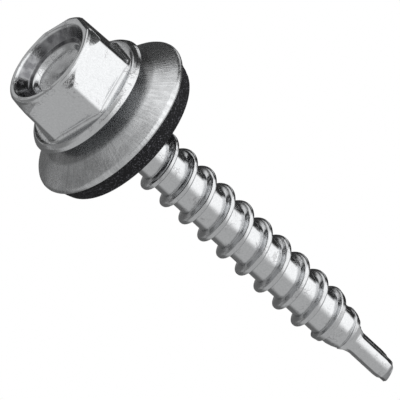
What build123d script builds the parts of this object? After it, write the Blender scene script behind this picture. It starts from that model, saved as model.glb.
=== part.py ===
from build123d import *
import math
import os

# Hexagon washer-head self-drilling screw with a captive bonded sealing washer.
# The screw stands on its head: the origin is the centre of the head's top face and
# +Z runs along the axis towards the drill point. Sizes are in millimetres and degrees.

# Even steps in which a rounded edge of a quarter turn is made
round_steps = 1

# Hexagonal driving head
across_flats = 8.0
flat_draft = 1.6
hexagon_turn = 3.7
crown_round = 0.28
corner_fade = 1.15
corner_overreach = 0.4

# Indented recess in the head's top face
recess_diameter = 6.7
recess_wall_height = 0.85
recess_wall_slope = 38.0
recess_step_width = 0.4
recess_step_drop = 0.12
dimple_wall_width = 0.3
recess_depth = 1.38

# Round flange under the hexagon
flange_diameter = 10.4
head_height = 4.3
flange_thickness = 0.6
flange_edge_round = 0.4
flange_rim_width = 0.5
flange_rim_rise = 0.1
skirt_rise = 0.22

# Neck and threaded shank
neck_diameter = 3.9
core_diameter = 3.2
thread_diameter = 4.5
thread_pitch = 2.1
thread_start = 8.5
neck_overlap = 0.45
run_in_length = 1.2
thread_fade_length = 3.9
ridge_base_width = 0.9
ridge_root_depth = 0.15
ridge_piece_turns = 2
core_taper_length = 0.9
core_taper_depth = 0.1
crest_allowance = 0.11

# Drill point
overall_length = 38.2
point_length = 5.0
drill_diameter = 2.6
drill_length = 4.5
drill_blend = 0.75
nose_diameter = 2.0
nose_length = 0.9
tip_height = 0.8
web_thickness = 0.56
flute_opening = 108.0
flute_length = 3.8
flute_run_out = 1.5

# Bonded sealing washer
plate_diameter = 13.9
plate_thickness = 0.6
plate_slope = 30.0
plate_crown_diameter = 5.6
washer_clearance = 0.1
seal_setback = 0.03
seal_taper = 0.4
seal_height = 4.42
seal_foot_round = 0.38
seal_bore_bevel = 0.65

# Sizes that follow from the ones above
neck_radius = neck_diameter / 2
core_radius = core_diameter / 2
crest_radius = thread_diameter / 2
drill_radius = drill_diameter / 2
flange_radius = flange_diameter / 2
bore_radius = neck_radius + washer_clearance
hexagon_height = head_height - flange_thickness
corner_radius = across_flats / math.sqrt(3)
top_flats = across_flats - 2 * hexagon_height * math.tan(math.radians(flat_draft))
neck_end = thread_start + neck_overlap
thread_fade_end = overall_length - point_length
thread_full_end = thread_fade_end - thread_fade_length
core_taper_start = thread_fade_end - core_taper_length
drill_start = overall_length - drill_length
nose_start = overall_length - tip_height - nose_length
flute_start = overall_length - flute_length
rim_lean = plate_thickness * math.sin(math.radians(plate_slope))
seal_top_diameter = plate_diameter - 2 * (rim_lean + seal_setback)
seal_foot_diameter = seal_top_diameter - 2 * seal_taper


def turned(*outline):
    """The area inside an outline of radius against height, revolved about the screw's axis."""
    return revolve(Plane.XZ * make_face(Polyline(*outline, outline[0])), Axis.Z)


def eased(centre, radius, start, turn):
    """Points of a rounded edge: an arc about a centre, from a start angle, in even steps."""
    angles = [math.radians(start + turn * i / round_steps) for i in range(round_steps + 1)]
    return [(centre[0] + radius * math.cos(a), centre[1] + radius * math.sin(a)) for a in angles]


def hexagon(flats, height):
    """A hexagon of the given width across flats, clocked as the head is, at a height."""
    outline = RegularPolygon(flats / 2, 6, major_radius=False)
    return Pos(0, 0, height) * Rot(0, 0, hexagon_turn - 90) * outline


def crown_envelope():
    """Rounded top edge, and the steep cone by which the corners fade in below it."""
    outside = corner_radius + corner_overreach
    return turned(
        (0, 0),
        *eased((top_flats / 2 - crown_round, crown_round), crown_round, -90, 90),
        (outside, corner_fade + corner_overreach),
        (outside, hexagon_height),
        (0, hexagon_height),
    )


def head_recess():
    """Dished recess: a sloping wall, a narrow step and a flat-bottomed dimple in the middle."""
    rim_radius = recess_diameter / 2
    wall_radius = rim_radius - recess_wall_height * math.tan(math.radians(recess_wall_slope))
    step_radius = wall_radius - recess_step_width
    step_height = recess_wall_height + recess_step_drop
    return turned(
        (0, 0),
        (rim_radius, 0),
        (wall_radius, recess_wall_height),
        (step_radius, step_height),
        (step_radius - dimple_wall_width, recess_depth),
        (0, recess_depth),
    )


def hexagon_head():
    """Drafted hexagon with its crown and recess, on a short skirt that meets the flange."""
    prism = loft([hexagon(top_flats, 0), hexagon(across_flats, hexagon_height)])
    low = hexagon_height - skirt_rise
    high = hexagon_height + skirt_rise
    skirt = loft([hexagon(across_flats, low), hexagon(across_flats + 4 * skirt_rise, high)])
    inside_rim = Pos(0, 0, hexagon_height) * Cylinder(flange_radius - flange_rim_width, head_height)
    return (prism & crown_envelope()) - head_recess() + (skirt & inside_rim)


def flange():
    """Round flange, slightly dished inside a raised and rounded rim."""
    dish = hexagon_height + 2 * flange_rim_rise
    rim_top = hexagon_height + flange_rim_rise
    shoulder = (flange_radius - flange_edge_round, rim_top + flange_edge_round)
    return turned(
        (0, dish),
        (flange_radius - flange_rim_width, dish),
        *eased(shoulder, flange_edge_round, -90, 90),
        (flange_radius, head_height),
        (0, head_height),
    )


def shank_core():
    """Neck, thread core, the shoulder down to the drill, its drawn-in nose and its point."""
    return turned(
        (0, head_height),
        (neck_radius, head_height),
        (neck_radius, neck_end),
        (core_radius, neck_end + neck_overlap),
        (core_radius, core_taper_start),
        (core_radius - core_taper_depth, drill_start - drill_blend),
        (drill_radius + core_taper_depth, drill_start - drill_blend / 2),
        (drill_radius, drill_start),
        (drill_radius, nose_start),
        (nose_diameter / 2, nose_start + nose_length),
        (0, overall_length),
    )


def ridge_piece():
    """A few turns of the thread's ridge, swept along a right-hand helix, with the foot in the core."""
    climb = ridge_piece_turns * thread_pitch
    path = Pos(0, 0, thread_start) * Helix(thread_pitch, climb, core_radius)
    foot = ridge_base_width / 2
    foot_radius = core_radius - ridge_root_depth
    outline = Polyline((foot_radius, -foot), (crest_radius, 0), (foot_radius, foot), close=True)
    section = Pos(0, 0, thread_start) * (Plane.XZ * make_face(outline))
    return sweep(section, path=path, is_frenet=True)


def thread_envelope():
    """The space in which the ridge may show: it rises out of the neck and fades at the drill."""
    clear_radius = crest_radius + crest_allowance
    return turned(
        (0, thread_start),
        (neck_radius, thread_start),
        (neck_radius, neck_end),
        (clear_radius, neck_end + run_in_length),
        (clear_radius, thread_full_end),
        (core_radius - core_taper_depth, thread_fade_end),
        (drill_radius, drill_start),
        (0, drill_start),
    )


def threaded_length():
    """Core cylinder carrying the ridge, made overlong so that both ends are cut by the envelope."""
    piece = ridge_piece()
    climb = ridge_piece_turns * thread_pitch
    pieces = math.ceil((thread_fade_end - thread_start) / climb)
    upright = (Align.CENTER, Align.CENTER, Align.MIN)
    blank = Cylinder(core_radius, (pieces + 1) * climb, align=upright)
    blank = Pos(0, 0, thread_start - thread_pitch) * blank
    ridge = [Pos(0, 0, number * climb) * piece for number in range(pieces)]
    return (blank + ridge) & thread_envelope()


def flute(side):
    """One V-shaped flute, and the arc by which it runs out of the shank."""
    root = web_thickness / 2
    reach = core_radius - root
    spread = reach * math.tan(math.radians(flute_opening / 2))
    notch = make_face(Polyline((0, 0), (reach, -spread), (reach, spread), (0, 0)))
    notch = Pos(root, 0, flute_start) * notch
    straight = extrude(notch, flute_length + tip_height)
    run_out = revolve(notch, Axis((root + flute_run_out, 0, flute_start), (0, 1, 0)), -90)
    return Rot(0, 0, side) * (straight + run_out)


def make_screw():
    """The one-piece screw: head, flange, neck, threaded shank and fluted drill point."""
    shank = shank_core() + threaded_length()
    for side in (0, 180):
        shank -= flute(side)
    return hexagon_head() + flange() + shank


def on_cone(radius, depth):
    """Point of the plate's cone at a radius of its top face, at a depth into the plate."""
    slope = math.radians(plate_slope)
    height = head_height + (radius - plate_crown_diameter / 2) * math.tan(slope)
    return (radius - depth * math.sin(slope), height + depth * math.cos(slope))


def on_crown(depth):
    """Point at a depth below the edge where the plate's flat crown turns into the cone."""
    bend = depth * math.tan(math.radians(plate_slope / 2))
    return (plate_crown_diameter / 2 - bend, head_height + depth)


def make_washer_plate():
    """Pressed steel plate: a flat crown round the bore, then a cone out to a square-cut rim."""
    return turned(
        (bore_radius, head_height),
        on_crown(0),
        on_cone(plate_diameter / 2, 0),
        on_cone(plate_diameter / 2, plate_thickness),
        on_crown(plate_thickness),
        (bore_radius, head_height + plate_thickness),
    )


def make_rubber_seal():
    """Rubber ring bonded under the plate, with a flat sealing face and eased edges."""
    face = head_height + seal_height
    foot_centre = (seal_foot_diameter / 2 - seal_foot_round, face - seal_foot_round)
    return turned(
        (bore_radius, head_height + plate_thickness),
        on_crown(plate_thickness),
        on_cone(seal_top_diameter / 2 + rim_lean, plate_thickness),
        *eased(foot_centre, seal_foot_round, 0, 90),
        (bore_radius + seal_bore_bevel, face),
        (bore_radius, face - seal_bore_bevel),
    )


os.makedirs("parts", exist_ok=True)
screw = make_screw()
washer_plate = make_washer_plate()
rubber_seal = make_rubber_seal()
export_step(screw, "parts/screw.step")
export_step(washer_plate, "parts/washer_plate.step")
export_step(rubber_seal, "parts/rubber_seal.step")
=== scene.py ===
import math

import bpy
import numpy as np
from mathutils import Matrix, Vector


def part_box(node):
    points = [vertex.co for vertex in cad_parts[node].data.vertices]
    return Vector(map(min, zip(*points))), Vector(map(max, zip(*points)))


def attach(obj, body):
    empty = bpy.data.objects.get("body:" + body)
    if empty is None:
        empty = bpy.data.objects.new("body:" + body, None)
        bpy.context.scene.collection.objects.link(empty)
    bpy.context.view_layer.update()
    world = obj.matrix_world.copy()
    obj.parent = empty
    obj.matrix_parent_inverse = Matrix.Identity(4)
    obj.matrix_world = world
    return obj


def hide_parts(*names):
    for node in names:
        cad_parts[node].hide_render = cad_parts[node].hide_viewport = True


bl_info = {
    "name": "Self drilling screw",
    "version": (1, 0, 0),
    "blender": (4, 5, 0),
    "location": "3D View > Sidebar > Screw",
    "description": "Builds a hexagon-head self drilling screw with its bonded sealing washer",
    "category": "Add Mesh",
}

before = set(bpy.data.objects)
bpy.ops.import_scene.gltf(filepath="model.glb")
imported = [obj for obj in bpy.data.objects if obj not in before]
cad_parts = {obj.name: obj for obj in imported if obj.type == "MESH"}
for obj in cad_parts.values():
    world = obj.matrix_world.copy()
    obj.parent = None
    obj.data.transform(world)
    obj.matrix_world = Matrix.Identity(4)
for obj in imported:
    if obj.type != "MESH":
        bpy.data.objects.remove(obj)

# One millimetre in scene units
MM = 0.001

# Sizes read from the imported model, in millimetres
_, screw_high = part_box("screw")
plate_low, plate_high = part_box("washer_plate")
_, seal_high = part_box("rubber_seal")
OVERALL_LENGTH = screw_high.z / MM
FLANGE_RADIUS = screw_high.x / MM
HEAD_HEIGHT = plate_low.z / MM
PLATE_RADIUS = plate_high.x / MM
SEAL_FACE = seal_high.z / MM

# Below, lengths are in millimetres. Corners of a profile are listed in order along it.

# Recess: how far each corner lies inside the lip, and its depth
RECESS_CORNERS = ((1.36, 1.27), (1.06, 0.97), (0.66, 0.85), (0.0, 0.0), (-0.2, 0.0))

# Hexagon: round of the top edge, set-back of the flats, spread of the cone that the corners stay
# in for each millimetre of height, and how much fuller one corner is, where it stands in
# degrees, and over what share of a raised cosine it fades
CROWN_ROUND = 0.28
FLAT_SETBACK = 0.03
CORNER_CONE = 0.882
FULL_CORNER = 0.26
FULL_CORNER_TURN = 240.0
FULL_CORNER_FADE = 0.28

# Flange: its thickness, the dish inside its rim, and its corners inwards from its radius and
# above its underside
FLANGE_THICKNESS = 0.6
DISH_DEPTH = 0.4
RIM_WIDTH = 0.5
FLANGE_CORNERS = (
    (RIM_WIDTH, -DISH_DEPTH), (0.44, -0.44), (0.34, -DISH_DEPTH), (0.12, -0.2), (0.0, 0.0),
    (0.0, 0.1), (0.08, 0.15), (0.4, 0.08), (1.2, 0.0))

# Fillet between hexagon and flange: its share of the room left there, and its limits
FILLET_SHARE = 0.8
FILLET_LIMITS = (0.06, 0.3)

# Shank: how far it reaches into the head, and how far the neck goes on past the start of the
# thread, which is also the length of its taper
SHANK_FOOT = 0.9
NECK_TAPER = 0.45

# Ridge of the thread: half widths of its foot towards the head and towards the point, exponent
# of its superellipse (2 is an ellipse, more is squarer), wear of the crest near the point, the
# height where that sets in, and how far before the tip it is full
HEAD_FOOT = 0.27
POINT_FOOT = 0.32
RIDGE_FULLNESS = 2.7
CREST_WEAR = 0.05
WEAR_START = 10.0
WEAR_END = 9.5

# Ends of the ridge: length still inside the neck, run-in after it, room over the crest, the
# heights before the tip where it starts to fade, where it is gone and where the rows of the
# drill begin, and how deep it ends inside the drill
RIDGE_INSIDE = 0.3
RUN_IN = 1.2
CREST_ROOM = 0.11
FADE_START = 8.9
FADE_END = 5.0
DRILL_ROWS = 4.3
RIDGE_SUNK = 0.2

# Shoulder and point: how far before the tip each corner lies, and its radius, counted from the
# core's radius, from the drill's and from the axis
CORE_SHOULDER = ((6.1, 0.0), (5.6, -0.03), (5.2, -0.12))
DRILL_SHOULDER = ((4.8, 0.1), (4.45, 0.02), (4.1, 0.0), (1.2, 0.0))
POINT_CORNERS = ((0.68, 1.23), (0.2, 0.85), (0.0, 0.1))

# Flutes: their straight length and run-out, and their turn away from +X in radians
FLUTE_LENGTH = 3.8
FLUTE_RUN_OUT = 1.5
FLUTE_TURN = 0.05

# Lands between the flutes: how deep their edges fall away, from which angle off the middle and
# over what angle, in radians, and where before the tip and over what length that sets in
LAND_EASE = 0.16
LAND_EASE_START = 0.42
LAND_EASE_WIDTH = 0.36
LAND_START = 4.7
LAND_RUN_IN = 0.9

# A radius well outside the screw
OUTSIDE = 99.0

# Seal: straight drop under the plate's rim, corners of its foot outwards from the foot's radius
# and before the face, bevel of its bore, and depth of the waves in its skin, the radius where
# they set in, and how far before the face they are gone
SEAL_DROP = 0.35
SEAL_CORNERS = ((0.02, 0.36), (-0.1, 0.1), (-0.36, 0.0))
SEAL_BEVEL = 0.65
WAVE_DEPTH = 0.012
WAVE_START = 5.0
WAVE_END = 0.05

# Places where the shade attribute paints shade into the colour: heights of the recess's wall,
# step and floor, the channel's set-back inside the flange's rim and its width, the chisel's
# height before the tip, and how far under the flange the plate's ring of painted shadow starts
# and over what width it fades
RECESS_WALL = (0.1, 0.9)
RECESS_STEP = (0.82, 0.96)
RECESS_FLOOR = 1.3
CHANNEL_SETBACK = 0.45
CHANNEL_WIDTH = 0.07
CHISEL_START = 0.72
RING_INSIDE = 0.1
RING_FADE = 0.26

# How dark the painted shade is at each of them, from 0 to 1
RECESS_WALL_SHADE = 0.9
RECESS_FLOOR_SHADE = 0.45
HEXAGON_FOOT_SHADE = 0.7
CHANNEL_SHADE = 0.5
RIDGE_FOOT_SHADE = 0.3
RIDGE_SHADE = 0.08
CHISEL_SHADE = 0.55
PLATE_SHADE = 0.5


class ScrewSizes(bpy.types.PropertyGroup):
    """Sizes of the one-piece screw, lengths in millimetres"""

    across_flats: bpy.props.FloatProperty(
        name="Across flats", description="Width of the hexagon at its foot", default=8.0)
    flat_draft: bpy.props.FloatProperty(
        name="Flat draft", description="Taper of the hexagon's flats",
        subtype="ANGLE", default=math.radians(1.6))
    hexagon_turn: bpy.props.FloatProperty(
        name="Hexagon turn", description="Turn of one corner away from -Y",
        subtype="ANGLE", default=math.radians(3.7))
    recess_radius: bpy.props.FloatProperty(
        name="Recess radius", description="Radius of the recess at its lip", default=3.35)
    recess_depth: bpy.props.FloatProperty(
        name="Recess depth", description="Depth of the recess at its middle", default=1.45)
    neck_radius: bpy.props.FloatProperty(
        name="Neck radius", description="Radius of the plain neck", default=1.95)
    core_radius: bpy.props.FloatProperty(
        name="Core radius", description="Radius of the thread's core", default=1.6)
    crest_radius: bpy.props.FloatProperty(
        name="Crest radius", description="Radius over the thread's crest", default=2.25)
    thread_pitch: bpy.props.FloatProperty(
        name="Thread pitch", description="Axial distance of one turn", default=2.11)
    thread_start: bpy.props.FloatProperty(
        name="Thread start", description="Height where the crest line passes +X", default=8.5)
    drill_radius: bpy.props.FloatProperty(
        name="Drill radius", description="Radius of the drill point", default=1.3)
    web_thickness: bpy.props.FloatProperty(
        name="Web thickness", description="Metal between the two flutes", default=0.56)
    flute_opening: bpy.props.FloatProperty(
        name="Flute opening", description="Opening angle of a flute",
        subtype="ANGLE", default=math.radians(98.0))


class WasherSizes(bpy.types.PropertyGroup):
    """Sizes of the bonded sealing washer, lengths in millimetres"""

    bore_radius: bpy.props.FloatProperty(
        name="Bore radius", description="Radius of the washer's bore", default=2.05)
    crown_radius: bpy.props.FloatProperty(
        name="Crown radius", description="Radius of the flat part round the bore", default=2.8)
    plate_thickness: bpy.props.FloatProperty(
        name="Plate thickness", description="Thickness of the steel plate", default=0.6)
    plate_slope: bpy.props.FloatProperty(
        name="Plate slope", description="Slope of the plate's cone",
        subtype="ANGLE", default=math.radians(30.0))
    seal_top_radius: bpy.props.FloatProperty(
        name="Seal radius at the plate", description="Outer radius under the rim", default=6.65)
    seal_foot_radius: bpy.props.FloatProperty(
        name="Seal radius at the foot", description="Outer radius at the face", default=6.3)


class Finishes(bpy.types.PropertyGroup):
    """Colours of the three finishes"""

    zinc: bpy.props.FloatVectorProperty(
        name="Zinc", description="Bright zinc plating", subtype="COLOR",
        default=(0.72, 0.73, 0.74))
    plate: bpy.props.FloatVectorProperty(
        name="Plate", description="Galvanised sheet", subtype="COLOR",
        default=(0.7, 0.71, 0.72))
    rubber: bpy.props.FloatVectorProperty(
        name="Rubber", description="Black sealing rubber", subtype="COLOR",
        default=(0.008, 0.008, 0.009))


# Shapes as functions of two parameters


def soft_min(a, b, width):
    """Smaller of a and b, rounded where they differ by less than the width (quadratic blend)."""
    h = np.clip(0.5 + 0.5 * (b - a) / width, 0.0, 1.0)
    return b + (a - b) * h - width * h * (1.0 - h)


def soft_max(a, b, width):
    """Larger of a and b, rounded as soft_min is."""
    return -soft_min(-a, -b, width)


def smooth_step(t):
    """3t^2 - 2t^3 for t held between 0 and 1."""
    t = np.clip(t, 0.0, 1.0)
    return t * t * (3.0 - 2.0 * t)


def band(value, low, high, edge):
    """1 between two limits and 0 outside them, with a smooth step over the edge inside each."""
    return smooth_step((value - low) / edge) * smooth_step((high - value) / edge)


def around(columns):
    """Even angles of one full turn, as a row."""
    return np.linspace(0.0, 2.0 * math.pi, columns, endpoint=False)[None, :]


def rounded_profile(points, rounding, count, closed=False):
    """Radius and height along a polyline whose corners are rounded, each as a column.

    The line is sampled evenly by length, and each sample becomes the mean of its neighbours
    within the rounding length, weighted by a raised cosine. Ends of an open line stay put.
    """
    line = np.array(points, float)
    if closed:
        line = np.vstack([line, line[:1]])
    run = np.concatenate([[0.0], np.cumsum(np.hypot(*np.diff(line, axis=0).T))])
    fine = 16 * count
    along = np.linspace(0.0, run[-1], fine, endpoint=not closed)
    sampled = np.stack([np.interp(along, run, line[:, k]) for k in range(2)])
    reach = max(1, int(round(rounding / (run[-1] / fine))))
    weights = 1.0 + np.cos(np.linspace(-math.pi, math.pi, 2 * reach + 3)[1:-1])
    weights /= weights.sum()
    if closed:
        first, last = sampled[:, -reach:], sampled[:, :reach]
    else:
        first = 2.0 * sampled[:, :1] - sampled[:, reach:0:-1]
        last = 2.0 * sampled[:, -1:] - sampled[:, -2:-reach - 2:-1]
    wide = np.concatenate([first, sampled, last], axis=1)
    smooth = np.stack([np.convolve(wide[k], weights, mode="valid") for k in range(2)])
    end = fine if closed else fine - 1
    picks = np.linspace(0, end, count, endpoint=not closed)
    return smooth[:, np.round(picks).astype(int), None]


def turned_grid(profile, columns):
    """Radius, height and angle of a profile turned about the axis, one row for each point."""
    return np.broadcast_arrays(profile[0], profile[1], around(columns))


def stacked(columns, *parts):
    """Rows of a grid from several parts, each widened to all the columns."""
    return np.concatenate([np.broadcast_to(part, (len(part), columns)) for part in parts])


def linked(name, data):
    """Object of that name in the scene, with its mesh, lamp or camera."""
    thing = bpy.data.objects.new(name, data)
    bpy.context.scene.collection.objects.link(thing)
    return thing


def grid_mesh(name, radius, height, angle, closed_rows=False, shade=None):
    """Piece made from a grid in cylindrical coordinates, closed round the axis.

    Row i, column j stands at radius[i, j], height[i, j], angle[i, j], in millimetres and radians.
    Each cell is split along its diagonal from (i, j) to (i + 1, j + 1), which follows a
    right-hand helix. Rows close on each other, or else a fan on the axis closes each end. The
    shade, if any, becomes an attribute of the points.
    """
    rows, columns = radius.shape
    points = np.stack([radius * np.cos(angle), radius * np.sin(angle), height], axis=-1)
    points = points.reshape(-1, 3)
    index = np.arange(rows * columns).reshape(rows, columns)
    beside = np.roll(index, -1, axis=1)
    if closed_rows:
        low, high = index, np.roll(index, -1, axis=0)
        low_beside, high_beside = beside, np.roll(beside, -1, axis=0)
    else:
        low, high = index[:-1], index[1:]
        low_beside, high_beside = beside[:-1], beside[1:]
    triangles = [
        np.stack([low, low_beside, high_beside], axis=-1).reshape(-1, 3),
        np.stack([low, high_beside, high], axis=-1).reshape(-1, 3),
    ]
    if not closed_rows:
        poles = [(0.0, 0.0, height[0].mean()), (0.0, 0.0, height[-1].mean())]
        points = np.vstack([points, poles])
        first, last = rows * columns, rows * columns + 1
        triangles.append(np.stack([np.full(columns, first), beside[0], index[0]], axis=-1))
        triangles.append(np.stack([np.full(columns, last), index[-1], beside[-1]], axis=-1))
    triangles = np.concatenate(triangles)
    a, b, c = (points[triangles[:, k]] for k in range(3))
    if np.einsum("ij,ij->", a, np.cross(b, c)) < 0:
        triangles = triangles[:, ::-1]
    mesh = bpy.data.meshes.new(name)
    mesh.vertices.add(len(points))
    mesh.vertices.foreach_set("co", (points * MM).astype(np.float32).ravel())
    mesh.loops.add(triangles.size)
    mesh.loops.foreach_set("vertex_index", triangles.astype(np.int32).ravel())
    mesh.polygons.add(len(triangles))
    mesh.polygons.foreach_set("loop_start", np.arange(0, triangles.size, 3, dtype=np.int32))
    mesh.polygons.foreach_set("use_smooth", np.ones(len(triangles), bool))
    mesh.update(calc_edges=True)
    if shade is not None:
        values = np.zeros(len(points), np.float32)
        values[: rows * columns] = np.broadcast_to(shade, (rows, columns)).ravel()
        mesh.attributes.new("shade", "FLOAT", "POINT").data.foreach_set("value", values)
    mesh.validate()
    return linked(name, mesh)


def thread_profile(across, height):
    """Height of the ridge above the core at a distance across its crest line.

    A superellipse: the height times (1 - t^p)^(1/p), where t is the distance as a share of the
    foot's half width. It falls straight on below the core, so that it meets the core at an angle.
    """
    t = np.abs(across) / np.where(across < 0.0, HEAD_FOOT, POINT_FOOT)
    crown = np.maximum(1.0 - t ** RIDGE_FULLNESS, 0.0) ** (1.0 / RIDGE_FULLNESS)
    return height * (crown - 2.0 * np.maximum(t - 1.0, 0.0))


def ridge_distance(sizes, angle, height):
    """Height above the crest line at this angle, wrapped to between minus and plus half a pitch."""
    pitch = sizes.thread_pitch
    across = height - sizes.thread_start - pitch * angle / (2.0 * math.pi)
    return (across + pitch / 2) % pitch - pitch / 2


def body_radius(sizes, height):
    """Radius of the turned body: neck, thread core, shoulder, drill and point, corners eased."""
    neck_end = sizes.thread_start + NECK_TAPER
    corners = [
        (sizes.neck_radius, 0.0), (sizes.neck_radius, neck_end),
        (sizes.core_radius, neck_end + NECK_TAPER)]
    corners += [(sizes.core_radius + out, OVERALL_LENGTH - back) for back, out in CORE_SHOULDER]
    corners += [(sizes.drill_radius + out, OVERALL_LENGTH - back) for back, out in DRILL_SHOULDER]
    corners += [(out, OVERALL_LENGTH - back) for back, out in POINT_CORNERS]
    radii, heights = rounded_profile(corners, rounding=0.15, count=900)[..., 0]
    return np.interp(height, heights, radii)


def ridge_radius(sizes, angle, height):
    """Radius over the helical ridge, held under an envelope that fades it out at both ends."""
    core, crest, tip = sizes.core_radius, sizes.crest_radius, OVERALL_LENGTH
    neck_end = sizes.thread_start + NECK_TAPER
    worn = np.interp(height, (WEAR_START, tip - WEAR_END), (crest, crest - CREST_WEAR))
    ridge = core + thread_profile(ridge_distance(sizes, angle, height), worn - core)
    room = crest + CREST_ROOM
    envelope = np.interp(
        height,
        (neck_end - RIDGE_INSIDE, neck_end, neck_end + RUN_IN,
         tip - FADE_START, tip - FADE_END, tip - DRILL_ROWS),
        (core, sizes.neck_radius, room, room, core, sizes.drill_radius - RIDGE_SUNK))
    return soft_min(ridge, envelope, width=0.06)


def flute_radius(sizes, angle, height):
    """Radius at which the nearer flute starts, or one far outside where there is no flute.

    A flute is a V whose root lies at half the web, or further out on its run-out arc. Its radius
    is the root's, times the sine of half the opening, over the sine of what is left of it.
    """
    flute_start = OVERALL_LENGTH - FLUTE_LENGTH
    below = np.clip(flute_start - height, 0.0, FLUTE_RUN_OUT)
    root = sizes.web_thickness / 2 + FLUTE_RUN_OUT - np.sqrt(FLUTE_RUN_OUT ** 2 - below ** 2)
    half_opening = sizes.flute_opening / 2
    from_flute = np.abs((angle + math.pi / 2) % math.pi - math.pi / 2)
    left = np.sin(np.maximum(half_opening - from_flute, 1e-3))
    flute = root * math.sin(half_opening) / left
    return np.where(height > flute_start - FLUTE_RUN_OUT, flute, OUTSIDE)


def shank_radius(sizes, angle, height):
    """Radius of the shank: the larger of body and ridge, less the lands' easing and the flutes."""
    ridge = ridge_radius(sizes, angle, height)
    radius = soft_max(body_radius(sizes, height), ridge, width=0.12)
    turned = angle - FLUTE_TURN
    from_land = np.abs(turned % math.pi - math.pi / 2)
    eased = smooth_step((height - (OVERALL_LENGTH - LAND_START)) / LAND_RUN_IN)
    eased = eased * smooth_step((from_land - LAND_EASE_START) / LAND_EASE_WIDTH)
    flute = flute_radius(sizes, turned, height)
    return soft_min(radius - LAND_EASE * eased, flute, width=0.16)


def hexagon_radius(angle, half_flats, turn):
    """Radius of a hexagon at an angle: the nearer of two flats, rounded where they meet."""
    sixth = math.pi / 3
    facing = (angle - turn) % sixth - sixth / 2
    near = half_flats / np.cos(facing)
    other = half_flats / np.cos(sixth - np.abs(facing))
    return soft_min(near, other, width=0.5)


def build_shank(sizes):
    """Shank and drill point in one surface, with rows a helix step apart along the thread.

    Painted shade darkens the ridge's foot towards the head, the ridge a little, and the chisel
    at the point.
    """
    columns = 80
    step = sizes.thread_pitch / columns
    neck = np.linspace(HEAD_HEIGHT - SHANK_FOOT, sizes.thread_start - 0.4, 24)
    threaded = np.arange(sizes.thread_start - 0.35, OVERALL_LENGTH - DRILL_ROWS, step)
    point = np.linspace(threaded[-1] + step, OVERALL_LENGTH, 160)
    rows = np.concatenate([neck, threaded, point])[:, None]
    height, angle = np.broadcast_arrays(rows, around(columns))
    radius = shank_radius(sizes, angle, height)
    # Painted shade along the ridge's foot towards the head, and a little over the whole ridge
    from_foot = np.abs(ridge_distance(sizes, angle, height) + HEAD_FOOT + 0.01)
    foot = RIDGE_FOOT_SHADE * smooth_step(1.0 - from_foot / 0.09)
    ridge = RIDGE_SHADE * smooth_step((radius - sizes.core_radius - 0.02) / 0.1)
    # Painted shade on the chisel at the point
    chisel = CHISEL_SHADE * smooth_step((height - OVERALL_LENGTH + CHISEL_START) / 0.15)
    shade = np.maximum(foot, ridge) * (height < OVERALL_LENGTH - FADE_END)
    return grid_mesh("screw_shank", radius, height, angle, shade=np.maximum(shade, chisel))


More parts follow.
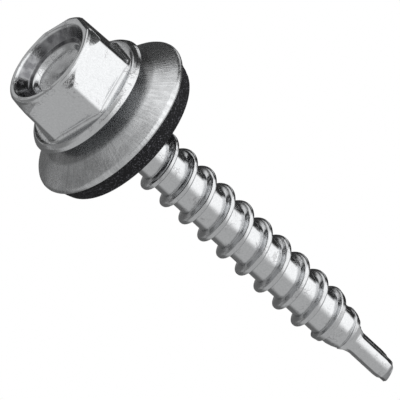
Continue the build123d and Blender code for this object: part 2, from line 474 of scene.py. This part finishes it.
def build_head(sizes):
    """Head and flange in one surface, row by row from the middle of the recess to the neck.

    Recess, ring and crown are turned; the flats are the hexagon's radius held under a steep
    cone; a fillet whose size follows the room left on the flange leads to the dish and rim.
    Painted shade darkens the recess wall, its step on the side away from -Y, its floor, the
    hexagon's foot line and the channel inside the rim.
    """
    columns = 240
    angle = around(columns)
    turn = sizes.hexagon_turn - math.pi / 2
    draft = math.tan(sizes.flat_draft)
    half_foot = sizes.across_flats / 2 - FLAT_SETBACK
    half_top = half_foot - (HEAD_HEIGHT - FLANGE_THICKNESS) * draft

    lip = sizes.recess_radius
    corners = [(0.02, sizes.recess_depth)]
    corners += [(lip - inward, deep) for inward, deep in RECESS_CORNERS]
    recess_radius, recess_height = rounded_profile(corners, rounding=0.09, count=90)

    at_corner = 0.5 + 0.5 * np.cos(angle - turn - math.radians(FULL_CORNER_TURN))
    fullness = FULL_CORNER * smooth_step(1.0 - (1.0 - at_corner) / FULL_CORNER_FADE)
    shoulder = soft_min(hexagon_radius(angle, half_top, turn), half_top + fullness, width=0.05)
    crown_turn = np.linspace(-math.pi / 2, 0.0, 9)[:-1, None]
    crown_radius = shoulder - CROWN_ROUND + CROWN_ROUND * np.cos(crown_turn)
    crown_height = CROWN_ROUND + CROWN_ROUND * np.sin(crown_turn)

    dish = HEAD_HEIGHT - DISH_DEPTH
    foot = hexagon_radius(angle, half_foot, turn)
    fillet = np.clip(FILLET_SHARE * (FLANGE_RADIUS - RIM_WIDTH - foot), *FILLET_LIMITS)
    share = np.linspace(0.0, 1.0, 76)[:, None] ** 1.3
    side_height = CROWN_ROUND + share * (dish - fillet - CROWN_ROUND)
    flats = hexagon_radius(angle, half_top + side_height * draft, turn)
    cone = half_top + fullness + (side_height - CROWN_ROUND) * CORNER_CONE
    side_radius = soft_min(flats, cone, width=0.05)
    bend = np.linspace(0.0, 1.0, 12)[1:, None]
    fillet_radius = foot + fillet * bend
    fillet_height = dish - fillet * (1.0 - bend) ** 2

    corners = [(FLANGE_RADIUS - inward, HEAD_HEIGHT + rise) for inward, rise in FLANGE_CORNERS]
    corners.append((sizes.neck_radius - 0.4, HEAD_HEIGHT))
    flange_radius, flange_height = rounded_profile(corners, rounding=0.05, count=90)

    # Painted shade in the recess: its wall, its floor, and its step on the side away from -Y
    far = 0.5 - 0.5 * np.cos(angle + math.pi / 2)
    wall = RECESS_WALL_SHADE * band(recess_height, *RECESS_WALL, edge=0.1)
    step = band(recess_height, *RECESS_STEP, edge=0.03) * smooth_step((far - 0.25) / 0.2)
    floor = RECESS_FLOOR_SHADE * smooth_step((recess_height - RECESS_FLOOR) / 0.1)
    # Painted shade in the creases: along the hexagon's foot and in the channel inside the rim
    foot_line = HEXAGON_FOOT_SHADE * (1.0 - smooth_step(bend / 0.35))
    from_channel = np.abs(flange_radius - FLANGE_RADIUS + CHANNEL_SETBACK)
    channel = 1.0 - smooth_step(from_channel / CHANNEL_WIDTH)
    channel = CHANNEL_SHADE * channel * (flange_height < HEAD_HEIGHT)
    shade = stacked(
        columns, np.maximum(np.maximum(wall, floor), step), 0.0 * crown_height,
        0.0 * side_height, foot_line, channel)
    radius = stacked(
        columns, recess_radius, crown_radius, side_radius, fillet_radius, flange_radius)
    height = stacked(
        columns, recess_height, crown_height, side_height, fillet_height, flange_height)
    return grid_mesh("screw_head", radius, height, angle + 0.0 * radius, shade=shade)


def plate_line(sizes, depth, radius):
    """Height of the plate's conical top face at a radius, moved by a depth across the sheet."""
    bend = depth * math.tan(sizes.plate_slope / 2)
    return HEAD_HEIGHT + depth + (radius - sizes.crown_radius + bend) * math.tan(sizes.plate_slope)


def build_plate(sizes):
    """Washer plate: a closed profile turned about the axis, with a fully rounded rim.

    Painted shadow of the flange darkens the plate under and just beyond the flange's edge.
    """
    thick = sizes.plate_thickness
    half = thick / 2
    slope = sizes.plate_slope
    middle = PLATE_RADIUS - half
    middle_height = plate_line(sizes, half, middle)
    turn = np.linspace(slope - math.pi / 2, slope + math.pi / 2, 12)
    rim = np.stack([middle + half * np.cos(turn), middle_height + half * np.sin(turn)], axis=-1)
    bend = thick * math.tan(slope / 2)
    bore, crown = sizes.bore_radius, sizes.crown_radius
    profile = rounded_profile(
        [(bore, HEAD_HEIGHT), (crown, HEAD_HEIGHT), *rim,
         (crown - bend, HEAD_HEIGHT + thick), (bore, HEAD_HEIGHT + thick)],
        rounding=0.1, count=110, closed=True)
    radius, height, angle = turned_grid(profile, columns=256)
    # Painted shadow of the flange: full under it, fading out just past its edge
    past = radius - FLANGE_RADIUS + RING_INSIDE
    shade = PLATE_SHADE * (1.0 - smooth_step(past / RING_FADE))
    return grid_mesh("washer_plate_dressed", radius, height, angle, closed_rows=True, shade=shade)


def build_seal(sizes):
    """Rubber ring: a closed profile turned about the axis, its skin broken by small waves.

    The waves are the product of two sines of angle and height, faded in outside the plate's
    cone and out before the face.
    """
    inside = sizes.plate_thickness / 2
    top = sizes.seal_top_radius
    rim_height = plate_line(sizes, inside, PLATE_RADIUS - inside)
    bore = sizes.bore_radius
    foot = [(sizes.seal_foot_radius + out, SEAL_FACE - back) for out, back in SEAL_CORNERS]
    profile = rounded_profile(
        [(bore, HEAD_HEIGHT + inside), (sizes.crown_radius, HEAD_HEIGHT + inside),
         (top, plate_line(sizes, inside, top)), (top, rim_height + SEAL_DROP), *foot,
         (bore + SEAL_BEVEL, SEAL_FACE), (bore, SEAL_FACE - SEAL_BEVEL)],
        rounding=0.1, count=150, closed=True)
    radius, height, angle = turned_grid(profile, columns=400)
    waves = np.sin(37.0 * angle + 9.0 * height) * np.sin(11.0 * angle - 5.0 * height)
    waves = waves * smooth_step((radius - WAVE_START) / 0.8)
    waves = waves * smooth_step((SEAL_FACE - WAVE_END - height) / 0.2)
    radius = radius + WAVE_DEPTH * waves
    return grid_mesh("rubber_seal_dressed", radius, height, angle, closed_rows=True)


# Shader nodes, and the groups that more than one finish uses

# Colours of scuffs in the zinc, and of the painted shade on zinc and on sheet
SCUFF_COLOUR = (0.52, 0.52, 0.53, 1.0)
ZINC_SHADE_COLOUR = (0.12, 0.12, 0.13, 1.0)
SHEET_SHADE_COLOUR = (0.09, 0.09, 0.09, 1.0)


def add_node(tree, kind, links=None, **settings):
    """Node with its settings, and its inputs set to values or linked from other sockets."""
    node = tree.nodes.new(kind)
    for key, value in settings.items():
        setattr(node, key, value)
    for socket, source in (links or {}).items():
        target = node.inputs[socket]
        if isinstance(source, bpy.types.NodeSocket):
            tree.links.new(source, target)
        else:
            target.default_value = source
    return node


def calculated(tree, operation, a, b=0.0):
    """Result of a mathematical operation on two values."""
    return add_node(tree, "ShaderNodeMath", {0: a, 1: b}, operation=operation).outputs["Value"]


def vector_result(tree, operation, a, b=(0.0, 0.0, 0.0)):
    """Result of a mathematical operation on two vectors."""
    node = add_node(tree, "ShaderNodeVectorMath", {0: a, 1: b}, operation=operation)
    return node.outputs["Vector"]


def remapped(tree, value, source, target):
    """The value carried from a source range to a target range and held inside it."""
    return add_node(tree, "ShaderNodeMapRange", {
        "Value": value, "From Min": source[0], "From Max": source[1],
        "To Min": target[0], "To Max": target[1]}).outputs["Result"]


def mixed(tree, factor, first, second, blend="MIX"):
    """First colour, blended with the second by a factor."""
    return add_node(tree, "ShaderNodeMix", {
        "Factor": factor, "A": first, "B": second},
        data_type="RGBA", blend_type=blend).outputs["Result"]


def new_group(name, inputs, outputs):
    """Empty shader node group with named sockets, those for numbers with default values."""
    group = bpy.data.node_groups.new(name, "ShaderNodeTree")
    group.interface.new_socket("Vector", in_out="INPUT", socket_type="NodeSocketVector")
    for label, value in inputs.items():
        socket = group.interface.new_socket(
            label, in_out="INPUT", socket_type="NodeSocketFloat")
        socket.default_value = value
    for label in outputs:
        group.interface.new_socket(label, in_out="OUTPUT", socket_type="NodeSocketFloat")
    return group, group.nodes.new("NodeGroupInput"), group.nodes.new("NodeGroupOutput")


def grain_group():
    """Uneven skin: a fine noise of the vector, as a value round one half."""
    tree, entry, result = new_group("Grain", {"Scale": 2.0, "Detail": 4.0}, ["Value"])
    noise = add_node(tree, "ShaderNodeTexNoise", {
        label: entry.outputs[label] for label in ("Vector", "Scale", "Detail")})
    tree.links.new(noise.outputs["Fac"], result.inputs["Value"])
    return tree


def scuffs_group():
    """Thin irregular marks: places where a distorted noise is near one half, in some patches."""
    tree, entry, result = new_group("Scuffs", {"Scale": 3.0, "Share": 0.55}, ["Mask"])
    wander = add_node(tree, "ShaderNodeTexNoise", {
        "Vector": entry.outputs["Vector"], "Scale": entry.outputs["Scale"],
        "Detail": 3.0, "Distortion": 1.0})
    off = calculated(tree, "SUBTRACT", wander.outputs["Fac"], 0.5)
    line = remapped(tree, calculated(tree, "ABSOLUTE", off), (0.01, 0.035), (1.0, 0.0))
    patch = add_node(tree, "ShaderNodeTexNoise", {
        "Vector": entry.outputs["Vector"], "Scale": 0.8, "Detail": 1.0})
    over = calculated(tree, "SUBTRACT", patch.outputs["Fac"], entry.outputs["Share"])
    here = remapped(tree, over, (0.0, 0.08), (0.0, 1.0))
    tree.links.new(calculated(tree, "MULTIPLY", line, here), result.inputs["Mask"])
    return tree


def grain(tree, groups, place, scale, detail):
    """Value of the shared grain at a place, scale and detail."""
    return add_node(tree, "ShaderNodeGroup", {
        "Vector": place, "Scale": scale, "Detail": detail},
        node_tree=groups["grain"]).outputs["Value"]


def millimetre_coordinates(tree):
    """Object coordinates in millimetres."""
    place = add_node(tree, "ShaderNodeTexCoord")
    return add_node(tree, "ShaderNodeMapping", {
        "Vector": place.outputs["Object"], "Scale": (1.0 / MM,) * 3}).outputs["Vector"]


def shade_colour(tree, colour, noise, dark):
    """The colour, darkened where the surface's shade attribute and a noise are both high."""
    # Painted shade: mixes the colour towards a dark one by the shade attribute
    shade = add_node(tree, "ShaderNodeAttribute", attribute_name="shade")
    broken = remapped(tree, noise, (0.3, 0.6), (0.6, 1.0))
    return mixed(tree, calculated(tree, "MULTIPLY", shade.outputs["Fac"], broken), colour, dark)


def raise_surface(tree, shader, height, distance):
    """Bumps the shader's normal by a height, at a distance in millimetres."""
    bump = add_node(tree, "ShaderNodeBump", {
        "Height": height, "Strength": 0.6, "Distance": distance * MM})
    tree.links.new(bump.outputs["Normal"], shader.inputs["Normal"])


def new_material(name):
    """Material with its tree and its shader."""
    material = bpy.data.materials.new(name)
    material.use_nodes = True
    tree = material.node_tree
    return material, tree, tree.nodes["Principled BSDF"]


def zinc_material(finishes, groups):
    """Bright zinc plating: uneven gloss, soft waves, fine grain and scuffs that darken it a bit."""
    material, tree, shader = new_material("Bright zinc plating")
    shader.inputs["Metallic"].default_value = 1.0
    place = millimetre_coordinates(tree)
    waves = grain(tree, groups, place, 1.3, 3.0)
    fine = grain(tree, groups, place, 8.0, 3.0)
    scuffs = add_node(tree, "ShaderNodeGroup", {
        "Vector": place, "Scale": 2.4, "Share": 0.56}, node_tree=groups["scuffs"])
    gloss = remapped(tree, waves, (0.3, 0.7), (0.1, 0.2))
    tree.links.new(gloss, shader.inputs["Roughness"])
    mottle = remapped(tree, fine, (0.3, 0.7), (0.92, 1.06))
    tone = mixed(tree, 1.0, (*finishes.zinc, 1.0), mottle, blend="MULTIPLY")
    tone = mixed(tree, scuffs.outputs["Mask"], tone, SCUFF_COLOUR)
    # Painted shade: the shade attribute darkens the zinc's colour, broken by the soft waves
    tone = shade_colour(tree, tone, waves, ZINC_SHADE_COLOUR)
    tree.links.new(tone, shader.inputs["Base Color"])
    skin = calculated(tree, "ADD", calculated(tree, "MULTIPLY", fine, 0.35), waves)
    dent = calculated(tree, "MULTIPLY", scuffs.outputs["Mask"], 0.5)
    raise_surface(tree, shader, calculated(tree, "SUBTRACT", skin, dent), 0.02)
    return material


def plate_material(finishes, groups):
    """Galvanised sheet: soft mottling, brush marks away from the axis and a fine grain.

    The brush marks are a noise of the direction from the axis, which hardly changes outwards.
    """
    material, tree, shader = new_material("Galvanised sheet")
    shader.inputs["Metallic"].default_value = 1.0
    place = millimetre_coordinates(tree)
    flat = vector_result(tree, "MULTIPLY", place, (1.0, 1.0, 0.0))
    outward = vector_result(tree, "NORMALIZE", flat)
    slow = vector_result(tree, "MULTIPLY", flat, (0.03, 0.03, 0.0))
    brushed = grain(tree, groups, vector_result(tree, "ADD", outward, slow), 26.0, 3.0)
    mottle = grain(tree, groups, place, 0.9, 5.0)
    fine = grain(tree, groups, place, 9.0, 4.0)
    skin = calculated(tree, "ADD", calculated(tree, "ADD", mottle, fine), brushed)
    tone = remapped(tree, skin, (1.2, 1.8), (0.76, 1.16))
    tone = mixed(tree, 1.0, (*finishes.plate, 1.0), tone, blend="MULTIPLY")
    # Painted shadow: the shade attribute darkens the sheet's colour, broken by the mottling
    tone = shade_colour(tree, tone, mottle, SHEET_SHADE_COLOUR)
    tree.links.new(tone, shader.inputs["Base Color"])
    gloss = remapped(tree, fine, (0.3, 0.7), (0.2, 0.32))
    tree.links.new(gloss, shader.inputs["Roughness"])
    raise_surface(tree, shader, skin, 0.02)
    return material


def rubber_material(finishes, groups):
    """Black sealing rubber with a cut, crumbly skin whose raised grains are paler."""
    material, tree, shader = new_material("Black sealing rubber")
    crumb = grain(tree, groups, millimetre_coordinates(tree), 8.0, 2.0)
    tone = remapped(tree, crumb, (0.55, 0.75), (0.5, 7.0))
    tone = mixed(tree, 1.0, (*finishes.rubber, 1.0), tone, blend="MULTIPLY")
    tree.links.new(tone, shader.inputs["Base Color"])
    shader.inputs["Roughness"].default_value = 0.7
    shader.inputs["Specular IOR Level"].default_value = 0.15
    raise_surface(tree, shader, crumb, 0.05)
    return material


# Stage, in metres and degrees

WHITE = (1.0, 1.0, 1.0, 1.0)
PALE_GREY = (0.86, 0.86, 0.86, 1.0)

# Level of the world where only diffuse light sees it
SOFT_LIGHT = 0.6

# Point on the screw's axis that the stage stands round
STAGE_MIDDLE = Vector((0.0, 0.0, 17.0 * MM))

# Floor: its radius, and how far it lies under the head
FLOOR_RADIUS = 0.6
FLOOR_DROP = 0.02 * MM

# Sphere behind the reflection cards: level and distance
TENT = (0.49, 0.3)

# Cards that reflections see: name, azimuth and elevation limits, level, softness of the four
# borders, and distance
REFLECTIONS = (
    ("softbox_right", (-6.0, 98.0), (-62.0, 54.0), 1.27, (38.0, 6.0, 10.0, 12.0), 0.28),
    ("dark_flag_right", (98.0, 182.0), (-20.0, 52.0), 0.03, (8.0, 10.0, 8.0, 10.0), 0.27),
    ("dark_flag_low_right", (98.0, 165.0), (-36.0, -10.0), 0.03, (8.0, 6.0, 4.0, 8.0), 0.26),
    ("bounce_right", (114.0, 148.0), (-10.0, 15.0), 0.85, (8.0, 5.0, 5.0, 5.0), 0.255),
    ("bounce_low_right", (50.0, 160.0), (-82.0, -37.0), 0.95, (20.0, 8.0, 15.0, 4.0), 0.25),
    ("bounce_rim", (55.0, 106.0), (-66.0, -34.0), 1.35, (12.0, 6.0, 8.0, 4.0), 0.245),
    ("dark_flag_left", (-182.0, -88.0), (-30.0, 52.0), 0.15, (8.0, 30.0, 15.0, 10.0), 0.24),
    ("shade_low_left", (-178.0, -80.0), (-85.0, -22.0), 0.24, (15.0, 30.0, 15.0, 10.0), 0.23),
    ("dark_flag_behind", (156.0, 176.0), (-50.0, 20.0), 0.04, (3.0, 3.0, 4.0, 6.0), 0.215),
    ("dark_flag_front", (-24.0, 24.0), (-66.0, -51.0), 0.1, (8.0, 8.0, 4.0, 4.0), 0.21),
)

# Square lamps: name, azimuth, elevation, distance, size and power in watts
LAMPS = (
    ("key", 55.0, 25.0, 0.5, 0.3, 4.0),
    ("fill", -60.0, 20.0, 0.5, 0.4, 1.5),
    ("below", 0.0, -50.0, 0.5, 0.4, 1.5),
)

# Photograph: its width in pixels, the length of one on the object, the point in its middle, the
# elevation it was taken from, the axis's direction at a right angle to that, how far the axis
# leans in the picture, and the camera's distance
PHOTO_WIDTH = 400
PIXEL_LENGTH = 0.0737 * MM
PHOTO_MIDDLE = Vector((0.022 * MM, 0.0, 16.874 * MM))
PHOTO_ELEVATION = -27.0
AXIS_IN_VIEW = Vector((0.0, -0.454, 0.891))
AXIS_LEAN = 42.5
CAMERA_DISTANCE = 0.7


def direction(azimuth, elevation):
    """Unit vector at an azimuth from -Y towards -X and an elevation above the floor."""
    a, e = math.radians(azimuth), math.radians(elevation)
    return Vector((-math.sin(a) * math.cos(e), -math.cos(a) * math.cos(e), math.sin(e)))


def shell_mesh(name, u, v, azimuth, elevation, distance):
    """Part of a sphere round the stage's middle.

    Grid point (u, v) lies at the azimuth and elevation that u and v reach between the limits.
    """
    a = np.radians(azimuth[0] + u * (azimuth[1] - azimuth[0]))
    e = np.radians(elevation[0] + v * (elevation[1] - elevation[0]))
    points = np.stack([-np.sin(a) * np.cos(e), -np.cos(a) * np.cos(e), np.sin(e)], axis=-1)
    points = distance * points + np.array(STAGE_MIDDLE)
    index = np.arange(u.size).reshape(u.shape)
    corners = [index[:-1, :-1], index[1:, :-1], index[1:, 1:], index[:-1, 1:]]
    quads = np.stack(corners, axis=-1).reshape(-1, 4)
    mesh = bpy.data.meshes.new(name)
    mesh.from_pydata(points.reshape(-1, 3).tolist(), [], quads.tolist())
    return mesh


def unit_grid(columns, rows):
    """Grid of u and v, each from 0 to 1."""
    return np.meshgrid(np.linspace(0.0, 1.0, columns), np.linspace(0.0, 1.0, rows), indexing="ij")


def glow(name, mesh, level, covered=False):
    """Stage piece that only reflections see, at one level, clear where its cover is 0."""
    material = bpy.data.materials.new(name)
    material.use_nodes = True
    tree = material.node_tree
    tree.nodes.clear()
    surface = add_node(tree, "ShaderNodeEmission", {"Color": WHITE, "Strength": level})
    surface = surface.outputs["Emission"]
    if covered:
        cover = add_node(tree, "ShaderNodeAttribute", attribute_name="cover")
        clear = add_node(tree, "ShaderNodeBsdfTransparent")
        surface = add_node(tree, "ShaderNodeMixShader", {
            0: cover.outputs["Fac"], 1: clear.outputs["BSDF"], 2: surface}).outputs["Shader"]
    add_node(tree, "ShaderNodeOutputMaterial", {"Surface": surface})
    mesh.materials.append(material)
    card = linked(name, mesh)
    card.visible_camera = False
    card.visible_diffuse = False
    card.visible_transmission = False
    card.visible_shadow = False
    card.visible_volume_scatter = False


def reflection_card(name, azimuth, elevation, level, softness, distance):
    """Part of a sphere that reflections see at one level, with soft borders.

    Its cover fades out towards the four borders (azimuth low and high, elevation low and high)
    by the smooth step of the distance to each.
    """
    u, v = unit_grid(49, 33)
    mesh = shell_mesh(name, u, v, azimuth, elevation, distance)
    wide, high = azimuth[1] - azimuth[0], elevation[1] - elevation[0]
    cover = smooth_step(u * wide / softness[0]) * smooth_step((1.0 - u) * wide / softness[1])
    cover *= smooth_step(v * high / softness[2]) * smooth_step((1.0 - v) * high / softness[3])
    layer = mesh.attributes.new("cover", "FLOAT", "POINT")
    layer.data.foreach_set("value", cover.ravel().astype(np.float32))
    glow(name, mesh, level, covered=True)


def reflection_tent(level, distance):
    """Whole sphere of one plain level, behind the cards."""
    mesh = shell_mesh("tent", *unit_grid(49, 25), (-180.0, 180.0), (-90.0, 90.0), distance)
    glow("tent", mesh, level)


def white_world():
    """World that cameras and reflections see as white, and that lights the object softly."""
    world = bpy.data.worlds.new("Studio")
    bpy.context.scene.world = world
    world.use_nodes = True
    tree = world.node_tree
    tree.nodes.clear()
    rays = add_node(tree, "ShaderNodeLightPath").outputs
    seen = calculated(tree, "MAXIMUM", rays["Is Camera Ray"], rays["Is Glossy Ray"])
    seen = calculated(tree, "MAXIMUM", seen, rays["Is Transmission Ray"])
    background = add_node(tree, "ShaderNodeBackground", {
        "Color": WHITE, "Strength": remapped(tree, seen, (0.0, 1.0), (SOFT_LIGHT, 1.0))})
    add_node(tree, "ShaderNodeOutputWorld", {"Surface": background.outputs["Background"]})


def pale_floor():
    """Round pale floor just under the head, clear from below and left out of reflections."""
    turn = around(96)[0]
    level = np.full_like(turn, -FLOOR_DROP)
    rim = np.stack([FLOOR_RADIUS * np.cos(turn), FLOOR_RADIUS * np.sin(turn), level], axis=-1)
    mesh = bpy.data.meshes.new("floor")
    mesh.from_pydata(rim.tolist(), [], [list(range(len(rim)))])
    material, tree, shader = new_material("Pale floor")
    shader.inputs["Base Color"].default_value = PALE_GREY
    shader.inputs["Roughness"].default_value = 0.9
    side = add_node(tree, "ShaderNodeNewGeometry")
    clear = add_node(tree, "ShaderNodeBsdfTransparent")
    surface = add_node(tree, "ShaderNodeMixShader", {
        0: side.outputs["Backfacing"], 1: shader.outputs["BSDF"], 2: clear.outputs["BSDF"]})
    tree.links.new(surface.outputs["Shader"], tree.nodes["Material Output"].inputs["Surface"])
    mesh.materials.append(material)
    floor = linked("floor", mesh)
    floor.visible_glossy = False
    floor.visible_diffuse = False
    floor.visible_transmission = False
    floor.visible_shadow = False


def area_lamp(name, azimuth, elevation, distance, size, power):
    """Square lamp that faces the middle of the stage."""
    data = bpy.data.lights.new(name, "AREA")
    data.size = size
    data.energy = power
    lamp = linked(name, data)
    lamp.location = STAGE_MIDDLE + distance * direction(azimuth, elevation)
    lamp.rotation_euler = direction(azimuth, elevation).to_track_quat("Z", "Y").to_euler()
    lamp.visible_glossy = False


def photo_camera():
    """Long lens at the photograph's angle: from below, with the axis down to the right."""
    back = direction(0.0, PHOTO_ELEVATION)
    beside = Vector((-1.0, 0.0, 0.0))
    lean = math.radians(AXIS_LEAN)
    right = math.cos(lean) * AXIS_IN_VIEW + math.sin(lean) * beside
    up = math.cos(lean) * beside - math.sin(lean) * AXIS_IN_VIEW
    data = bpy.data.cameras.new("camera")
    data.sensor_width = 36.0
    data.lens = data.sensor_width * CAMERA_DISTANCE / (PHOTO_WIDTH * PIXEL_LENGTH)
    data.clip_start = 0.01
    camera = linked("camera", data)
    turn = Matrix((right, up, back)).transposed().to_4x4()
    camera.matrix_world = Matrix.Translation(PHOTO_MIDDLE + CAMERA_DISTANCE * back) @ turn
    bpy.context.scene.camera = camera


# Operators


def finish_named(name, maker, finishes):
    """The material of that name, made once from the shared node groups."""
    groups = {
        "grain": bpy.data.node_groups.get("Grain") or grain_group(),
        "scuffs": bpy.data.node_groups.get("Scuffs") or scuffs_group(),
    }
    return bpy.data.materials.get(name) or maker(finishes, groups)


def dress(piece, body, slot, material, *nodes):
    """Gives a piece its body and finish and hides the CAD nodes it stands for; slot is unused."""
    piece.data.materials.append(material)
    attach(piece, body)
    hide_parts(*nodes)


class SCREW_OT_shank(bpy.types.Operator):
    """Builds the neck, the threaded shank and the drill point"""

    bl_idname = "screw.shank"
    bl_label = "Build shank"

    def execute(self, context):
        scene = context.scene
        zinc = finish_named("Bright zinc plating", zinc_material, scene.screw_finishes)
        dress(build_shank(scene.screw_sizes), "screw", "zinc_steel", zinc, "screw")
        return {"FINISHED"}


class SCREW_OT_head(bpy.types.Operator):
    """Builds the hexagonal head and its flange"""

    bl_idname = "screw.head"
    bl_label = "Build head"

    def execute(self, context):
        scene = context.scene
        zinc = finish_named("Bright zinc plating", zinc_material, scene.screw_finishes)
        dress(build_head(scene.screw_sizes), "screw", "zinc_steel", zinc, "screw")
        return {"FINISHED"}


class SCREW_OT_washer(bpy.types.Operator):
    """Builds the washer's steel plate and its rubber seal"""

    bl_idname = "screw.washer"
    bl_label = "Build washer"

    def execute(self, context):
        scene = context.scene
        plate = finish_named("Galvanised sheet", plate_material, scene.screw_finishes)
        rubber = finish_named("Black sealing rubber", rubber_material, scene.screw_finishes)
        sizes = scene.washer_sizes
        dress(build_plate(sizes), "sealing_washer", "galvanised_plate", plate, "washer_plate")
        dress(build_seal(sizes), "sealing_washer", "black_rubber", rubber, "rubber_seal")
        return {"FINISHED"}


class SCREW_OT_stage(bpy.types.Operator):
    """Builds the floor, world, lamps, reflection cards and camera"""

    bl_idname = "screw.stage"
    bl_label = "Build stage"

    def execute(self, context):
        context.scene.view_settings.view_transform = "Standard"
        white_world()
        pale_floor()
        reflection_tent(*TENT)
        for row in REFLECTIONS:
            reflection_card(*row)
        for row in LAMPS:
            area_lamp(*row)
        photo_camera()
        return {"FINISHED"}


class SCREW_PT_panel(bpy.types.Panel):
    """Lists the screw's pieces and its stage"""

    bl_idname = "SCREW_PT_panel"
    bl_label = "Self drilling screw"
    bl_space_type = "VIEW_3D"
    bl_region_type = "UI"
    bl_category = "Screw"

    def draw(self, context):
        for operator in (SCREW_OT_shank, SCREW_OT_head, SCREW_OT_washer, SCREW_OT_stage):
            self.layout.operator(operator.bl_idname)


CLASSES = (
    ScrewSizes, WasherSizes, Finishes,
    SCREW_OT_shank, SCREW_OT_head, SCREW_OT_washer, SCREW_OT_stage, SCREW_PT_panel,
)


def register():
    for item in CLASSES:
        bpy.utils.register_class(item)
    bpy.types.Scene.screw_sizes = bpy.props.PointerProperty(type=ScrewSizes)
    bpy.types.Scene.washer_sizes = bpy.props.PointerProperty(type=WasherSizes)
    bpy.types.Scene.screw_finishes = bpy.props.PointerProperty(type=Finishes)


def unregister():
    del bpy.types.Scene.screw_finishes
    del bpy.types.Scene.washer_sizes
    del bpy.types.Scene.screw_sizes
    for item in reversed(CLASSES):
        bpy.utils.unregister_class(item)


def main():
    register()
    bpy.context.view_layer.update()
    bpy.ops.screw.shank()
    bpy.ops.screw.head()
    bpy.ops.screw.washer()
    bpy.ops.screw.stage()


if __name__ == "__main__":
    main()
